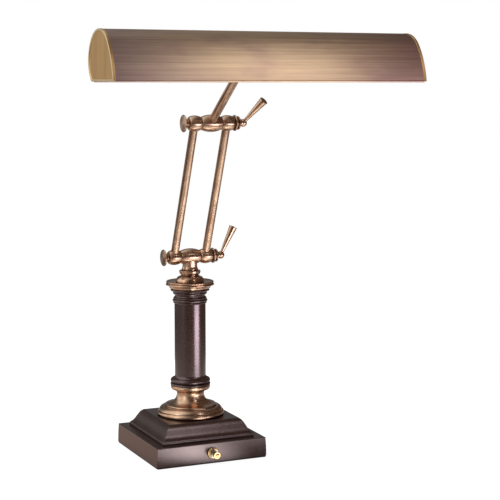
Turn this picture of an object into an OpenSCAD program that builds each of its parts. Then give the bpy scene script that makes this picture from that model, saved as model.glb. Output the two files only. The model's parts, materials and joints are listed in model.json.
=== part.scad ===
// Piano lamp: a long arched shade on a stem, two swing-arm joints with clamping
// levers, a turned column and a square weighted base with a push switch.
// Frame: +Z up, -Y to the front, +X to the right, origin at the middle of the base's underside.

/* [Base] */
// Side of the square base at the table
base_size = 140; // [120:1:180]
// How much each side of the base leans in towards its top
base_draft = 1.1; // [0:0.1:3]
// Height of the base block's top above the table
block_top = 24.2; // [21:0.1:36]
// Thickness of the felt under the base
felt_t = 1.5; // [1:0.1:3]
// Thickness of the steel plate that closes the base
plate_t = 1.2; // [0.8:0.1:3]
// Wall of the hollow base block
block_wall = 4; // [3:0.1:6]
// Height of the stepped cover above the block
cover_h = 20.8; // [16:0.1:32]
// Side of the cover at its lip
cover_size = 117; // [108:1:128]
// Height of the cover's upright lip
lip_h = 3.2; // [2.5:0.1:6]
// Side of the cover's flat top
cover_top_size = 89; // [86:1:96]
// Wall of the cover
cover_wall = 3; // [2:0.1:5]
// Thickness of the iron weight in the base
weight_t = 9; // [8:0.5:15]

/* [Column] */
// Largest diameter of the bell foot
foot_d = 81.4; // [72:0.1:92]
// Height of the bell foot
foot_h = 36.3; // [35:0.1:45]
// Diameter of the column shaft
shaft_d = 37.6; // [34:0.1:42]
// Length of the plain shaft
shaft_h = 87.8; // [60:0.1:140]
// Wall of the shaft tube
shaft_wall = 3; // [2:0.1:5]
// Diameter of the bright disc on the column
disc_d = 58.4; // [54:0.1:66]
// Diameter of the threaded pipe that clamps the column together
pipe_d = 10; // [9:0.1:11]
// Bore of the threaded pipe
pipe_bore = 7; // [5:0.1:8]

/* [Arms] */
// Distance between the lower and the upper joint axis
arm_len = 175; // [120:1:240]
// Forward lean of the arms as shown
arm_lean = 22.5; // [0:0.5:60]
// Diameter of the two arm rods and the shade stem
rod_d = 9.5; // [8:0.1:11]
// Bore of the rods and the stem
rod_bore = 6.5; // [5:0.1:7]
// Height of the lower joint axis above the column's top
joint_rise = 23.2; // [23:0.1:30]

/* [Joints] */
// Diameter of the joint bolts
bolt_d = 6; // [5:0.1:7]
// Radial clearance of a bolt in its bores
bolt_fit = 0.05; // [0.02:0.01:0.1]
// Gap between faces that turn past each other
turn_gap = 0.3; // [0.2:0.05:0.5]
// Length of the middle barrel
barrel_len = 25; // [22:0.1:32]
// Largest diameter of the middle barrel
barrel_d = 20; // [18:0.1:22]
// Length of one knuckle
knuckle_len = 14.7; // [13:0.1:18]
// Largest diameter of a knuckle
knuckle_d = 18.4; // [17:0.1:20]
// Diameter of the bolt's disc head
head_d = 20; // [16:0.1:22]
// Diameter of the washer under the lever's hub
washer_rim_d = 18.6; // [16:0.1:22]
// Diameter of the flange on the lever's hub
hub_flange_d = 15.8; // [13:0.1:18]
// Diameter of the ball on the lever's hub
ball_d = 9.2; // [9:0.1:11]
// Length of a lever from the ball's middle
lever_len = 38.2; // [28:0.1:44]
// Diameter of a lever at its free end
lever_tip_d = 10.3; // [8:0.1:12]
// Diameter of a lever where it leaves the ball
lever_root_d = 3.8; // [3:0.1:5]
// Outward slant of the levers
lever_slant = 27; // [10:0.5:32]
// Forward lean of the lower lever as shown
lower_lever_lean = -1; // [-60:1:60]
// Forward lean of the upper lever as shown
upper_lever_lean = 39; // [-60:1:60]

/* [Shade] */
// Length of the shade
shade_len = 356.2; // [300:0.1:420]
// Radius of the arch's crown
crown_r = 34.7; // [32:0.1:38]
// Radius of the arch's long front curve
front_r = 88; // [75:0.1:110]
// Radius of the arch's tighter back curve
back_r = 25.4; // [24:0.1:30]
// Angle round the crown at which the front curve begins
front_from = 143.7; // [138:0.1:150]
// Angle round the crown at which the back curve begins
back_from = 14.8; // [8:0.1:24]
// Height of the crown's centre above the open underside
arch_drop = 17.7; // [12:0.1:19]
// Thickness of the shade's sheet
sheet_t = 0.8; // [0.6:0.1:1.5]
// Distance from the upper joint forward to the crown's centre
shade_reach = 134.4; // [125:0.1:160]
// Height of the crown's centre over the upper joint
shade_rise = 65.3; // [50:0.1:80]
// Angle of the stem's seat round the arch's back, above the level
seat_angle = -4; // [-8:0.5:6]

/* [Lamps] */
// Diameter of a tubular lamp
lamp_d = 32; // [28:1:34]
// Length of a lamp's glass
glass_len = 112; // [90:1:130]
// Diameter of a lamp's screw cap
lamp_cap_d = 26; // [24:0.1:27]
// Diameter of a lamp holder
holder_d = 35; // [33:0.5:38]
// Length of a lamp holder
holder_len = 38; // [32:0.5:44]

/* [Switch] */
// Height of the switch above the table
switch_z = 12.5; // [11:0.1:15]
// Diameter of the switch's threaded bush
bush_d = 9.4; // [8:0.1:11]
// How far the bush stands out of the base
bush_out = 7; // [6:0.1:10]
// Diameter of the push button's head
button_d = 8.6; // [7:0.1:10]
// How far the button stands out of its bush
button_out = 8; // [7:0.1:10]
// Travel of the push button
button_travel = 2.5; // [1.5:0.1:3.5]
// Bore of the cord inlet at the back of the base
inlet_bore = 6; // [5:0.1:7]

/* [Hidden] */
$fn = 96;

// Colours
dark_paint = [0.17, 0.12, 0.11];
bronze = [0.62, 0.42, 0.30];
shade_brass = [0.72, 0.58, 0.42];
bright_brass = [0.85, 0.70, 0.38];
steel = [0.60, 0.60, 0.62];
iron = [0.30, 0.30, 0.31];

// Heights up the base and the column
block_bottom = felt_t;
plate_top = felt_t + plate_t;
block_roof = block_top - block_wall;
hollow_half = base_size / 2 - block_wall - base_draft;
cover_top = block_top + cover_h;
foot_top = cover_top + foot_h;
ring_h = 12.3;
shaft_bottom = foot_top + ring_h;
shaft_top = shaft_bottom + shaft_h;
capital_h = 18.6;
disc_bottom = shaft_top + capital_h;
disc_t = 7;
disc_top = disc_bottom + disc_t;
collar_h = 7.5;
column_top = disc_top + collar_h;
joint_z = column_top + joint_rise;

// Fits and small sizes
fit = 0.1;
slide_fit = 0.15;
thread_fit = 0.02;
seat_fit = 0.01;
rod_fit = 0.05;
corner_r = 2;
edge_r = 1;
pipe_r = pipe_d / 2;
pipe_foot = 7;
pipe_over = 0.6;
nut_t = 5;
nut_flats = 14;
washer_t = 2;
washer_d = 26;
swivel_floor = 4.6;
swivel_h = 9.4;
swivel_nut_t = 3.6;
swivel_nut_d = 13;
swivel_cavity_d = 14.2;
neck_d = 17.6;
neck_flare_d = 18.6;
neck_flare_h = 1.6;
wire_d = pipe_bore - 1;
rod_wire_d = rod_bore - 1;
boss_d = 10;
screw_d = 4;
screw_head_d = 7;
screw_head_t = 0.9;
screw_len = 12;
boss_inset = 15;
weight_gap = 1;
weight_margin = 5.5;
room_gap = 3;
foot_wall = 4;

// Joints
bolt_r = bolt_d / 2;
bore_r = bolt_r + bolt_fit;
half_barrel = barrel_len / 2;
barrel_end_d = 15.4;
knuckle_end_d = 15.6;
end_chamfer = 0.9;
knuckle_in = half_barrel + turn_gap;
knuckle_out = knuckle_in + knuckle_len;
knuckle_mid = knuckle_in + knuckle_len / 2;
rod_seat = bore_r + 2;
washer_in = knuckle_out + turn_gap;
washer_boss_d = 12.4;
washer_boss_t = 0.9;
washer_rim_t = 2.1;
hub_in = washer_in + washer_boss_t + washer_rim_t + turn_gap;
hub_boss_d = 11.2;
hub_boss_t = 2;
hub_flange_t = 1.8;
hub_cone_h = 3;
hub_waist_d = 8.2;
hub_neck_len = 2.4;
ball_x = hub_in + hub_boss_t + hub_flange_t + hub_cone_h + hub_neck_len;
bolt_end = ball_x - 2.5;
head_in = knuckle_out + turn_gap;
head_neck_d = 8.4;
head_len_x = 6.8;
head_rim = 2;
head_flare = 4.2;
head_out = head_in + head_len_x;

// Upper joint, with the arms leaning forward
upper_y = -arm_len * sin(arm_lean);
upper_z = joint_z + arm_len * cos(arm_lean);

// Shade arch in the Y-Z plane: a crown between a tighter back curve and a long front curve,
// three arcs that meet without a corner, cut level at the open underside
crown_y = upper_y - shade_reach;
crown_z = upper_z + shade_rise;
back_y = crown_y + (crown_r - back_r) * cos(back_from);
back_z = crown_z + (crown_r - back_r) * sin(back_from);
front_y = crown_y + (crown_r - front_r) * cos(front_from);
front_z = crown_z + (crown_r - front_r) * sin(front_from);
under_z = crown_z - arch_drop;

// Points of a circular arc, from one angle to another
function arc(x, y, r, from, to, steps = 8) =
    [for (i = [0:steps]) let (a = from + (to - from) * i / steps) [x + r * cos(a), y + r * sin(a)]];

function without_first(list) = [for (i = [1:len(list) - 1]) list[i]];

// The arch's outline from its back edge to its front edge, grown outwards and cut at the level z
function arch_line(grow, z) = concat(
    arc(back_y, back_z, back_r + grow, asin((z - back_z) / (back_r + grow)), back_from, 14),
    without_first(arc(crown_y, crown_z, crown_r + grow, back_from, front_from, 30)),
    without_first(arc(front_y, front_z, front_r + grow, front_from,
        180 - asin((z - front_z) / (front_r + grow)), 9)));
function reversed(list) = [for (i = [len(list) - 1:-1:0]) list[i]];

// Seat of the stem on the arch's back: its point, its outward lean and the hub's middle
seat_y = back_y + back_r * cos(seat_angle);
seat_z = back_z + back_r * sin(seat_angle);
seat_lean = seat_angle - 90;
hub_off = 9;
hub_y = seat_y + hub_off * cos(seat_angle);
hub_z = seat_z + hub_off * sin(seat_angle);
stem_lean = atan2(upper_y - hub_y, hub_z - upper_z);
stem_reach = norm([hub_y - upper_y, hub_z - upper_z]);

// Shade fittings
hub_d = 15;
seat_flange_d = 21;
nipple_d = 9.5;
nipple_in = 11;
nipple_out = 3.4;
locknut_t = 3;
foot_plate_t = 1.5;
bracket_w = 24;
bracket_deep = 11.5;
web_half = 12;
holder_screw_r = 1.5;
holder_screw_y = 8;
rim_out = 0.3;
rim_drop = 0.3;
rim_w = 2.4;
rim_len = 3;
end_plate_t = 0.8;
end_recess = 0.6;
bead_r = 1.1;
stem_collar_d = 14;
stem_collar_h = 8;

// Lamps: their axis runs along the shade
lamp_y = crown_y - 5;
lamp_z = crown_z + 5;
web_t = 2;
holder_floor = 5;
cap_len = 24;
cap_start = web_t / 2 + holder_floor + 2.5;
glass_start = cap_start + cap_len;
lamp_neck_len = 9;
dome_r = 9;
glass_wall = 1;
neck_start = web_t / 2 + holder_len + 2 * turn_gap;

// Switch
switch_inner_d = 14;
switch_depth = 17;
nut_out = 3.6;
switch_nut_d = 13.5;
switch_y = -block_half(switch_z - switch_nut_d / 2);
switch_wall = -switch_y - hollow_half;
switch_back_t = 3;
switch_lip_t = 2;
plunger_d = 5.2;
head_len = 4.4;
stop_t = 1.2;
stop_r = 3.7;
spring_room_r = 4;
spring_len = 4;
spring_r = 3.4;
spring_wire = 0.8;

// Inner face of the switch's back, on the switch's own axis
switch_floor = -switch_wall - switch_depth + switch_back_t;

// Cord inlet at the back of the base
inlet_z = 12.5;
inlet_body_d = 10;
inlet_flange_d = 14;
inlet_flange_t = 2;
inlet_tail = 4;
inlet_room_depth = 20;
inlet_y = block_half(inlet_z - inlet_flange_d / 2);

// A turned piece about the Z axis, from its outline and a straight bore
module turned(points, bore) {
    difference() {
        rotate_extrude() polygon(concat([[0, points[0][1]]], points, [[0, points[len(points) - 1][1]]]));
        if (bore > 0) translate([0, 0, points[0][1] - 1]) {
            cylinder(h = points[len(points) - 1][1] - points[0][1] + 2, r = bore);
        }
    }
}

// Turns a piece drawn along Z so that it lies along +X
module along_x() {
    rotate([0, 90, 0]) children();
}

// Extrudes a Y-Z outline along X, from one X to another
module slab_x(from, to) {
    translate([from, 0, 0]) rotate([90, 0, 90]) linear_extrude(to - from) children();
}

// A square tier with mitred corners, from half of its outline
module square_tier(half_outline) {
    outline = concat(half_outline, [for (p = reversed(half_outline)) [-p[0], p[1]]]);
    span = base_size + 2;
    intersection() {
        rotate([90, 0, 0]) linear_extrude(span, center = true) polygon(outline);
        rotate([90, 0, 90]) linear_extrude(span, center = true) polygon(outline);
    }
}

// A round-cornered square prism
module square_prism(side, r, bottom, top) {
    half = side / 2 - r;
    translate([0, 0, bottom]) linear_extrude(top - bottom) {
        square([side - 2 * r, side], center = true);
        square([side, side - 2 * r], center = true);
        for (x = [-half, half], y = [-half, half]) translate([x, y]) circle(r);
    }
}

// A hexagonal nut about the Z axis
module hex_nut(flats, bore, height) {
    difference() {
        cylinder(h = height, r = flats / 2 / cos(30), $fn = 6);
        translate([0, 0, -1]) cylinder(h = height + 2, r = bore);
    }
}

/* ---- Base ---- */

boss_xy = base_size / 2 - boss_inset;

module at_bosses() {
    for (x = [-boss_xy, boss_xy], y = [-boss_xy, boss_xy]) translate([x, y, 0]) children();
}

// Half width of the base block's side at a height
function block_half(z) = base_size / 2 - base_draft * z / block_top;

module base_block() {
    color(dark_paint) difference() {
        union() {
            difference() {
                intersection() {
                    square_tier(concat([[block_half(block_bottom), block_bottom]],
                        arc(block_half(block_top) - edge_r, block_top - edge_r, edge_r, 0, 90, 5)));
                    square_prism(base_size, corner_r, 0, block_top + 1);
                }
                square_prism(2 * hollow_half, corner_r, 0, block_roof);
            }
            at_bosses() translate([0, 0, plate_top]) {
                cylinder(h = block_roof - plate_top + 1, d = boss_d);
            }
        }
        at_bosses() translate([0, 0, plate_top - 1]) cylinder(h = screw_len - 1, r = screw_d / 2);
        translate([0, 0, block_roof - 1]) cylinder(h = block_wall + 2, r = pipe_r + fit);
        translate([0, -base_size / 2, switch_z]) rotate([90, 0, 0]) {
            cylinder(h = 4 * block_wall, r = bush_d / 2 + fit, center = true);
        }
        translate([0, base_size / 2, inlet_z]) rotate([90, 0, 0]) {
            cylinder(h = 4 * block_wall, r = inlet_body_d / 2 + fit, center = true);
        }
    }
}

// Outline of the cover's side: an upright lip, a small step and an ogee slope
cover_step = 0.6;
ogee_swing = 0.08;
function cover_outline() =
    let (lip = cover_size / 2, slope_x = lip - cover_step, slope_z = block_top + lip_h + cover_step,
        run = slope_x - cover_top_size / 2, rise = cover_top - slope_z)
    concat([[lip - 0.4, block_top], [lip, block_top + 0.4]],
        arc(lip - edge_r, block_top + lip_h - edge_r, edge_r, 0, 70, 4),
        [for (i = [0:14]) let (u = i / 14)
            [slope_x - run * u, slope_z + rise * (u - ogee_swing * sin(360 * u))]]);

module base_cover() {
    hollow = cover_top_size - 2 * cover_wall;
    color(dark_paint) difference() {
        square_tier(cover_outline());
        square_prism(hollow, corner_r, block_top - 1, cover_top - cover_wall);
        cylinder(h = cover_top + 1, r = pipe_r + fit);
    }
}

module base_weight() {
    side = 2 * (hollow_half - weight_margin);
    switch_room = [switch_inner_d + 2 * room_gap, 2 * (switch_depth + block_wall + 2), weight_t + 2];
    inlet_room = [inlet_flange_d + 2 * room_gap, 2 * inlet_room_depth, weight_t + 2];
    color(iron) translate([0, 0, block_roof - weight_t]) difference() {
        square_prism(side, corner_r, 0, weight_t);
        at_bosses() translate([0, 0, -1]) cylinder(h = weight_t + 2, d = boss_d + 2 * weight_gap);
        translate([0, 0, -1]) cylinder(h = weight_t + 2, d = washer_d + 2 * weight_gap);
        translate([0, -base_size / 2, weight_t / 2]) cube(switch_room, center = true);
        translate([0, base_size / 2, weight_t / 2]) cube(inlet_room, center = true);
    }
}

module bottom_plate() {
    color(steel) difference() {
        square_prism(2 * (hollow_half - fit), corner_r, felt_t, plate_top);
        at_bosses() translate([0, 0, felt_t - 1]) cylinder(h = plate_t + 2, r = screw_d / 2 + fit);
    }
}

module plate_screws() {
    color(steel) at_bosses() {
        translate([0, 0, felt_t]) cylinder(h = screw_len - 3, r = screw_d / 2 - bolt_fit);
        translate([0, 0, felt_t - screw_head_t]) cylinder(h = screw_head_t, d = screw_head_d);
    }
}

module felt_pad() {
    color([0.08, 0.08, 0.08]) difference() {
        square_prism(base_size - 1, corner_r, 0, felt_t);
        at_bosses() translate([0, 0, felt_t - 1]) cylinder(h = felt_t + 2, d = screw_head_d + 4 * fit);
    }
}

module cord_inlet() {
    color([0.07, 0.07, 0.07]) translate([0, inlet_y, inlet_z]) rotate([-90, 0, 0]) difference() {
        union() {
            cylinder(h = inlet_flange_t, d = inlet_flange_d);
            translate([0, 0, -block_wall - inlet_tail]) {
                cylinder(h = block_wall + inlet_tail + 1, d = inlet_body_d);
            }
        }
        translate([0, 0, -inlet_room_depth]) cylinder(h = 2 * inlet_room_depth, r = inlet_bore / 2);
    }
}

/* ---- Switch: pieces drawn along their own axis, pointing out to the front ---- */

module at_switch() {
    translate([0, switch_y, switch_z]) rotate([90, 0, 0]) children();
}

module switch_body() {
    room = plunger_d / 2 + slide_fit;
    color(steel) at_switch() difference() {
        union() {
            translate([0, 0, -switch_wall - switch_depth]) {
                cylinder(h = switch_depth, d = switch_inner_d);
            }
            translate([0, 0, -switch_wall - 1]) cylinder(h = switch_wall + 1 + bush_out, d = bush_d);
        }
        translate([0, 0, switch_floor]) {
            cylinder(h = switch_depth + switch_wall + bush_out, r = room);
            cylinder(h = switch_depth - switch_back_t - switch_lip_t, r = spring_room_r);
        }
    }
}

// Stepped ring nut on the switch's bush
module switch_nut() {
    color(bright_brass) at_switch() turned(concat(
        [[switch_nut_d / 2 - 0.5, 0]],
        arc(switch_nut_d / 2 - 0.8, 1.2, 0.8, -60, 80, 6),
        [[switch_nut_d / 2 - 1.4, 2.1]],
        arc(switch_nut_d / 2 - 1.6, 2.8, 0.6, -60, 90, 5),
        [[bush_d / 2 + 0.6, nut_out]]), bush_d / 2 + rod_fit);
}

// Button with a round head, a stalk in the bush and a collar that keeps it in
module switch_button() {
    tip = bush_out + button_out;
    back = switch_floor + button_travel + spring_len;
    color(bright_brass) at_switch() {
        translate([0, 0, back]) cylinder(h = tip - head_len - back + 1, d = plunger_d);
        translate([0, 0, back]) cylinder(h = stop_t, r = stop_r);
        rotate_extrude() polygon(concat([[0, tip - head_len]],
            [[button_d / 2 - 0.6, tip - head_len], [button_d / 2, tip - head_len + 0.6]],
            [[button_d / 2, tip - 1.9], [button_d / 2 - 0.7, tip - 1.3]],
            arc(0, tip - 3.3, 3.3, 38, 90, 6)));
    }
}

// Return spring, drawn as the sleeve that its turns fill
module button_spring() {
    color(steel) at_switch() translate([0, 0, switch_floor]) difference() {
        cylinder(h = spring_len + button_travel - turn_gap, r = spring_r);
        translate([0, 0, -1]) cylinder(h = switch_depth, r = spring_r - spring_wire);
    }
}

/* ---- Column ---- */

module pipe() {
    color(steel) difference() {
        translate([0, 0, pipe_foot]) {
            cylinder(h = column_top + swivel_floor + swivel_nut_t + pipe_over - pipe_foot, r = pipe_r);
        }
        cylinder(h = joint_z, r = pipe_bore / 2);
    }
}

module pipe_washer_lower() {
    color(steel) translate([0, 0, block_roof - washer_t]) difference() {
        cylinder(h = washer_t, d = washer_d);
        translate([0, 0, -1]) cylinder(h = washer_t + 2, r = pipe_r + fit);
    }
}

module pipe_nut_lower() {
    color(steel) translate([0, 0, block_roof - washer_t - nut_t]) {
        hex_nut(nut_flats, pipe_r + thread_fit, nut_t);
    }
}

module pipe_nut_upper() {
    color(steel) translate([0, 0, disc_top]) hex_nut(nut_flats, pipe_r + thread_fit, nut_t);
}

// Bell-shaped foot, hollow below: a base ring, a shoulder, a flared bell, a neck and a lip
module bell_foot() {
    r = foot_d / 2;
    bell_r = r - 11.1;
    neck_r = shaft_d / 2 - 2.1;
    lip_r = shaft_d / 2 + 5.1;
    wide_h = 9;
    narrow_h = 14;
    neck_z = foot_top - 11;
    color(bronze) difference() {
        turned(concat(
            [[r - 2.8, cover_top]],
            arc(r - 2.8, cover_top + 2.8, 2.8, -80, 80, 10),
            [[r - 3.2, cover_top + 5.9]],
            arc(r - 8.1, cover_top + 4.6, 6, 13, 90, 8),
            [[r - 9.2, cover_top + 10.6], [r - 9.2, cover_top + 11.3]],
            arc(r - 10.6, cover_top + 12.2, 0.9, -80, 90, 6),
            [for (i = [1:14]) let (a = 90 * i / 14) [
                neck_r + (bell_r - neck_r) * (1 - sin(a)),
                neck_z - (neck_z - cover_top - 13.1) * cos(a)]],
            arc(neck_r + 4.4, neck_z + 0.9, 4.4, 180, 104, 7),
            [[lip_r - 1.3, foot_top - 5]],
            arc(lip_r - 2.2, foot_top - 2.6, 2.2, -40, 20, 5),
            [[lip_r, foot_top - 0.9], [lip_r - 0.7, foot_top]]), pipe_r + fit);
        translate([0, 0, cover_top - 1]) cylinder(h = wide_h + 1, r = bell_r - foot_wall);
        translate([0, 0, cover_top]) cylinder(h = narrow_h, r = neck_r - foot_wall);
    }
}

// Dark ring under the shaft: a bead, a torus and a cove
module column_foot() {
    r = shaft_d / 2;
    color(dark_paint) turned(concat(
        [[r + 4.1, foot_top]],
        arc(r + 4.1, foot_top + 1.4, 1.4, -80, 80, 8),
        [[r + 3.6, foot_top + 3.1]],
        arc(r + 2.6, foot_top + 5.8, 2.7, -76, 76, 10),
        arc(r + 3.4, foot_top + 12.2, 3.4, 248, 180, 6),
        [[r, shaft_bottom]]), pipe_r + fit);
}

module column_shaft() {
    color(dark_paint) translate([0, 0, shaft_bottom]) difference() {
        cylinder(h = shaft_h, d = shaft_d);
        translate([0, 0, -1]) cylinder(h = shaft_h + 2, d = shaft_d - 2 * shaft_wall);
    }
}

// Dark capital: a bead, a ring and a bead, a neck, then two thin beads under the disc
module column_capital() {
    r = shaft_d / 2;
    color(dark_paint) turned(concat(
        [[r, shaft_top]],
        arc(r + 0.5, shaft_top + 1.1, 0.9, -80, 80, 6),
        arc(r + 0.4, shaft_top + 3.8, 1.8, -80, 80, 9),
        arc(r + 0.2, shaft_top + 6.6, 1, -80, 80, 6),
        arc(r + 0.9, shaft_top + 9.2, 1.6, 260, 110, 7),
        arc(r + 0.9, shaft_top + 12.6, 0.9, -90, 70, 6),
        arc(r + 3.2, shaft_top + 13.9, 1.4, 170, 95, 5),
        arc(r + 3.8, shaft_top + 16.4, 1, -80, 80, 6),
        [[r + 3.4, disc_bottom]]), pipe_r + fit);
}

// Disc with a coved underside, two beads round its edge and a slightly dished top
module cap_disc() {
    r = disc_d / 2;
    color(bronze) turned(concat(
        [[r - 5, disc_bottom]],
        arc(r - 1.1, disc_bottom + 0.2, 3.4, 170, 98, 6),
        arc(r - 0.9, disc_bottom + 4.5, 0.9, -70, 75, 7),
        [[r - 1.3, disc_bottom + 6]],
        arc(r - 1.4, disc_bottom + 7.4, 0.9, -60, 110, 8),
        [[r - 4, disc_top + 0.4], [r - 9, disc_top]]), pipe_r + fit);
}

// Domed collar on the disc, hollow for the nut that clamps the column
module cap_collar() {
    color(bronze) difference() {
        turned(concat(
            [[16.6, disc_top], [17, disc_top + 0.5]],
            arc(10.9, disc_top + 1.4, 6.1, 0, 68, 10),
            [[11.9, column_top - 0.2], [11.6, column_top]]), pipe_r + fit);
        translate([0, 0, disc_top - 1]) {
            cylinder(h = nut_t + 1.2, r = nut_flats / 2 / cos(30) + turn_gap);
        }
    }
}

module column_wires() {
    color([0.1, 0.1, 0.1]) translate([0, 0, pipe_foot]) {
        cylinder(h = column_top - pipe_foot, d = wire_d);
    }
}

/* ---- Joints: pieces drawn about the joint axis, their rod or stem pointing up ---- */

module at_lower(lean) {
    translate([0, 0, joint_z]) rotate([lean, 0, 0]) children();
}

module at_upper(lean) {
    translate([0, upper_y, upper_z]) rotate([lean, 0, 0]) children();
}

// A turned barrel along X, widest in its middle
module bulged(from, to, end_d, mid_d) {
    half = (to - from) / 2;
    bow_half = half - end_chamfer;
    rise = (mid_d - end_d) / 2;
    bow_r = (bow_half * bow_half + rise * rise) / 2 / rise;
    bow = asin(bow_half / bow_r);
    translate([(from + to) / 2, 0, 0]) along_x() rotate_extrude() polygon(concat(
        [[0, -half], [end_d / 2 - end_chamfer, -half]],
        arc(mid_d / 2 - bow_r, 0, bow_r, -bow, bow, 12),
        [[end_d / 2 - end_chamfer, half], [0, half]]));
}

module pin_bore() {
    along_x() translate([0, 0, -60]) cylinder(h = 120, r = bore_r);
}

module barrel() {
    difference() {
        union() {
            bulged(-half_barrel, half_barrel, barrel_end_d, barrel_d);
            children();
        }
        pin_bore();
    }
}

// One knuckle with a socket for its rod
module knuckle(side) {
    difference() {
        translate([side * knuckle_mid, 0, 0]) {
            bulged(-knuckle_len / 2, knuckle_len / 2, knuckle_end_d, knuckle_d);
        }
        pin_bore();
        translate([side * knuckle_mid, 0, rod_seat]) cylinder(h = knuckle_d, r = rod_d / 2 + rod_fit);
    }
}

// Bolt with a flared disc head at the left and its threaded end in the lever's hub
module joint_bolt() {
    translate([-head_out, 0, 0]) along_x() rotate_extrude() polygon(concat(
        [[0, -0.4], [head_d / 4, -0.2], [head_d / 2 - 0.6, 0]],
        arc(head_d / 2 - 0.7, head_rim / 2, 0.75, -80, 80, 6),
        [for (i = [0:8]) let (a = 90 * i / 8) [
            head_neck_d / 2 + (head_d / 2 - 1.2 - head_neck_d / 2) * (1 - sin(a)),
            head_rim + head_flare * (1 - cos(a))]],
        [[head_neck_d / 2, head_len_x], [bolt_r, head_len_x]],
        [[bolt_r, head_out + bolt_end - 0.5], [bolt_r - 0.5, head_out + bolt_end]],
        [[0, head_out + bolt_end]]));
}

// Dished washer: a small boss against the knuckle and a rounded rim
module joint_washer() {
    r = washer_rim_d / 2;
    total = washer_boss_t + washer_rim_t;
    translate([washer_in, 0, 0]) along_x() turned(concat(
        [[washer_boss_d / 2, 0], [washer_boss_d / 2, washer_boss_t]],
        arc(r - 1, washer_boss_t + washer_rim_t / 2, 1, -80, 80, 8),
        [[r - 1.4, total]]), bore_r);
}

// Lever hub: a boss, a flange, a hollow cone and a ball
module lever_hub() {
    r = hub_flange_d / 2;
    waist = hub_waist_d / 2;
    flange_top = hub_boss_t + hub_flange_t;
    difference() {
        union() {
            translate([hub_in, 0, 0]) along_x() rotate_extrude() polygon(concat(
                [[0, 0], [hub_boss_d / 2, 0], [hub_boss_d / 2, hub_boss_t]],
                arc(r - 0.8, hub_boss_t + hub_flange_t / 2, 0.8, -80, 80, 6),
                [for (i = [1:8]) let (a = 90 * i / 8) [
                    waist + (r - 1.2 - waist) * (1 - sin(a)), flange_top + hub_cone_h * (1 - cos(a))]],
                [[waist, ball_x - hub_in], [0, ball_x - hub_in]]));
            translate([ball_x, 0, 0]) sphere(d = ball_d);
        }
        along_x() cylinder(h = bolt_end + 0.6, r = bore_r);
    }
}

// Tapered handle that screws into the ball
module lever_handle() {
    root = lever_root_d / 2;
    tip = lever_tip_d / 2;
    translate([ball_x, 0, 0]) rotate([0, lever_slant, 0]) difference() {
        rotate_extrude() polygon(concat(
            [[0, ball_d / 2 - 1], [root, ball_d / 2 - 1], [root + 0.25, ball_d / 2 + 1.5]],
            [[tip - 0.4, lever_len - 1.7]],
            arc(tip - 0.7, lever_len - 1.3, 0.7, -10, 60, 4),
            arc(0, lever_len - 3 * tip, 3 * tip, 76, 90, 4)));
        sphere(d = ball_d + 2 * seat_fit);
    }
}

module swivel_collar() {
    z0 = column_top + turn_gap;
    top = column_top + swivel_h + turn_gap;
    color(bronze) difference() {
        turned(concat(
            [[9.9, z0], [10.4, z0 + 0.4]],
            arc(7.2, z0 + 5.4, 5.6, -55, 0, 7),
            arc(12.1, z0 + 5.7, 0.8, 0, 70, 4),
            [[10, z0 + 6.6], [9.4, z0 + 6.9]],
            arc(9.2, z0 + 7.9, 0.8, -60, 75, 6),
            [[9.2, top]]), pipe_r + bolt_fit);
        translate([0, 0, column_top + swivel_floor]) {
            cylinder(h = swivel_h, d = swivel_cavity_d);
        }
    }
}

// Nut that keeps the swivel on the pipe and lets it turn
module swivel_nut() {
    color(steel) translate([0, 0, column_top + swivel_floor + turn_gap]) difference() {
        cylinder(h = swivel_nut_t - turn_gap, d = swivel_nut_d);
        translate([0, 0, -1]) cylinder(h = swivel_nut_t + 2, r = pipe_r + thread_fit);
    }
}

module lower_barrel() {
    neck_bottom = column_top + swivel_h + turn_gap - joint_z;
    color(bronze) at_lower(0) difference() {
        barrel() translate([0, 0, neck_bottom]) {
            cylinder(h = -neck_bottom - 2, d = neck_d);
            cylinder(h = neck_flare_h, d1 = neck_flare_d, d2 = neck_d);
        }
        translate([0, 0, neck_bottom - 1]) cylinder(h = 4, r = pipe_bore / 2);
    }
}

module lower_bolt() {
    color(bronze) at_lower(0) joint_bolt();
}

module lower_washer() {
    color(bronze) at_lower(0) joint_washer();
}

module lower_lever_hub() {
    color(bronze) at_lower(lower_lever_lean) lever_hub();
}

module lower_lever_handle() {
    color(bronze) at_lower(lower_lever_lean) lever_handle();
}

module lower_knuckle(side) {
    color(bronze) at_lower(arm_lean) knuckle(side);
}

module upper_knuckle(side) {
    color(bronze) at_upper(arm_lean + 180) knuckle(side);
}

module rod(side) {
    color(bronze) at_lower(arm_lean) translate([side * knuckle_mid, 0, rod_seat]) difference() {
        cylinder(h = arm_len - 2 * rod_seat, d = rod_d);
        translate([0, 0, -1]) cylinder(h = arm_len, d = rod_bore);
    }
}

module rod_wires() {
    color([0.1, 0.1, 0.1]) at_lower(arm_lean) translate([knuckle_mid, 0, rod_seat + 1]) {
        cylinder(h = arm_len - 2 * rod_seat - 2, d = rod_wire_d);
    }
}

module upper_barrel() {
    color(bronze) at_upper(stem_lean) difference() {
        barrel();
        translate([0, 0, rod_seat]) cylinder(h = barrel_d, r = rod_d / 2 + rod_fit);
    }
}

module upper_bolt() {
    color(bronze) at_upper(stem_lean) joint_bolt();
}

module upper_washer() {
    color(bronze) at_upper(stem_lean) joint_washer();
}

module upper_lever_hub() {
    color(bronze) at_upper(upper_lever_lean) lever_hub();
}

module upper_lever_handle() {
    color(bronze) at_upper(upper_lever_lean) lever_handle();
}

/* ---- Stem and shade ---- */

module at_seat() {
    translate([0, seat_y, seat_z]) rotate([seat_lean, 0, 0]) children();
}

stem_end = stem_reach - hub_d / 2 + 3;

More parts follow.
